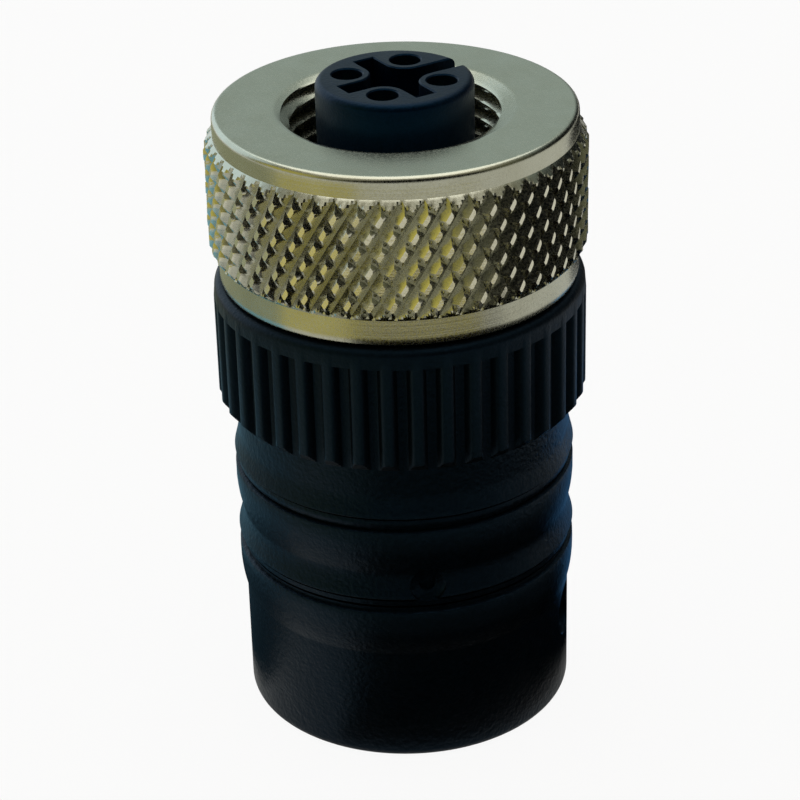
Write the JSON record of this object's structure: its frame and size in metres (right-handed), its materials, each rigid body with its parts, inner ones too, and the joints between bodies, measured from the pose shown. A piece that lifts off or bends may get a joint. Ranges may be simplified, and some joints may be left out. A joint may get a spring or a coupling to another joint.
{
  "type": "m12 connector",
  "caption": "Round screw-lock cable connector with a knurled metal coupling nut, a coded socket insert and a black ribbed plastic body.",
  "frame": {"origin": "centre of the rear end face, which is also the lowest point", "axes": "+Z along the connector's axis, towards the mating face; +Y towards the coding slot"},
  "size_m": [0.02, 0.02, 0.036],
  "materials": {
    "nickel_brass": "nickel-plated brass, satin on the turned face, bright on the rolled knurl",
    "spring_steel": "spring wire, oiled",
    "seal_rubber": "smooth dark rubber",
    "insert_plastic": "moulded black plastic, fine spark texture",
    "gold_plate": "gold-plated turned contact",
    "screw_steel": "zinc-plated steel",
    "grip_plastic": "moulded black plastic, slightly glossy",
    "body_plastic": "moulded black plastic with a fine speckled texture"
  },
  "bodies": {
    "body": {"housing": "body_plastic", "cable_seal": "seal_rubber"},
    "gasket": {"body_gasket": "seal_rubber"},
    "front": {"grip_ring": "grip_plastic", "socket_insert": "insert_plastic", "terminal_block": "insert_plastic", "face_seal": "seal_rubber", "contact_1": "gold_plate", "contact_2": "gold_plate", "contact_3": "gold_plate", "contact_4": "gold_plate", "terminal_screw_1": "screw_steel", "terminal_screw_2": "screw_steel", "terminal_screw_3": "screw_steel", "terminal_screw_4": "screw_steel"},
    "clip": {"nut_clip": "spring_steel"},
    "nut": {"coupling_nut": "nickel_brass"},
    "pusher": {"clamp_collet": "grip_plastic", "slip_washer": "screw_steel"},
    "cap": {"gland_cap": "body_plastic"}
  },
  "joints": [
    {"name": "front_travel", "type": "slide", "parent": "body", "child": "gasket", "axis": [0, 0, 1], "range_m": [0, 0.005]},
    {"name": "front_screw", "type": "hinge", "parent": "gasket", "child": "front", "pos_m": [0, 0, 0.021], "axis": [0, 0, 1], "range_deg": [0, 1800]},
    {"name": "nut_play", "type": "slide", "parent": "front", "child": "clip", "axis": [0, 0, 1], "range_m": [0, 0.0005]},
    {"name": "nut_spin", "type": "hinge", "parent": "clip", "child": "nut", "pos_m": [0, 0, 0.03], "axis": [0, 0, 1], "continuous": true},
    {"name": "cap_travel", "type": "slide", "parent": "body", "child": "pusher", "axis": [0, 0, -1], "range_m": [0, 0.004]},
    {"name": "cap_screw", "type": "hinge", "parent": "pusher", "child": "cap", "pos_m": [0, 0, 0.005], "axis": [0, 0, -1], "range_deg": [0, 1440]}
  ],
  "couplings": [
    {"joint": "front_screw", "follows": "front_travel", "rad_per_m": 6283.2},
    {"joint": "cap_screw", "follows": "cap_travel", "rad_per_m": 6283.2}
  ]
}
